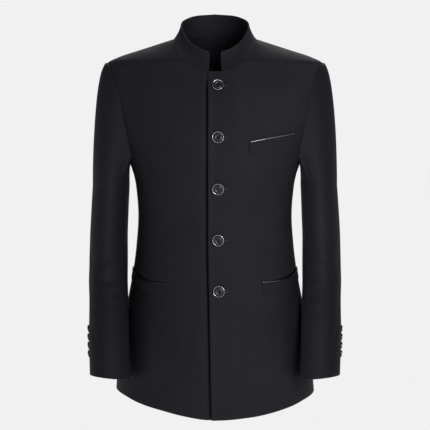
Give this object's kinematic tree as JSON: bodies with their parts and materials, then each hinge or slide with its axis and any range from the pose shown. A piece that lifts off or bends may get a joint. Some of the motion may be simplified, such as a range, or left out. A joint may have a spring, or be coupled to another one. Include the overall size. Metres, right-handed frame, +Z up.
{
  "type": "mandarin collar blazer",
  "caption": "Slim single-breasted blazer with a standing band collar, a buttoned front, a chest welt pocket, slanted side pockets and two-piece sleeves, shaped as worn and hollow",
  "frame": {"origin": "midway between the two points where the shoulder seams meet the collar, where a wearer's shoulders and neck hold it up", "axes": "+Z up, the front of the blazer faces -Y, the wearer's left side is +X"},
  "size_m": [0.5006, 0.3088, 0.791],
  "materials": {
    "cloth": "charcoal black, fine smooth wool weave, matt",
    "piping": "black satin, soft shine",
    "button": "dark gunmetal with a brighter rim"
  },
  "bodies": {
    "root": {"collar": "cloth", "breast_welt": "cloth", "back_left": "cloth", "back_right": "cloth", "front_left": "cloth", "front_right": "cloth", "side_left": "cloth", "side_right": "cloth", "sleeve_top_left": "cloth", "sleeve_top_right": "cloth", "sleeve_under_left": "cloth", "sleeve_under_right": "cloth", "pocket_welt_left": "cloth", "pocket_welt_right": "cloth", "breast_piping": "piping", "pocket_piping_left": "piping", "pocket_piping_right": "piping", "button_1": "button", "button_2": "button", "button_3": "button", "button_4": "button", "button_5": "button", "cuff_button_left_1": "button", "cuff_button_left_2": "button", "cuff_button_left_3": "button", "cuff_button_left_4": "button", "cuff_button_right_1": "button", "cuff_button_right_2": "button", "cuff_button_right_3": "button", "cuff_button_right_4": "button"}
  },
  "joints": []
}
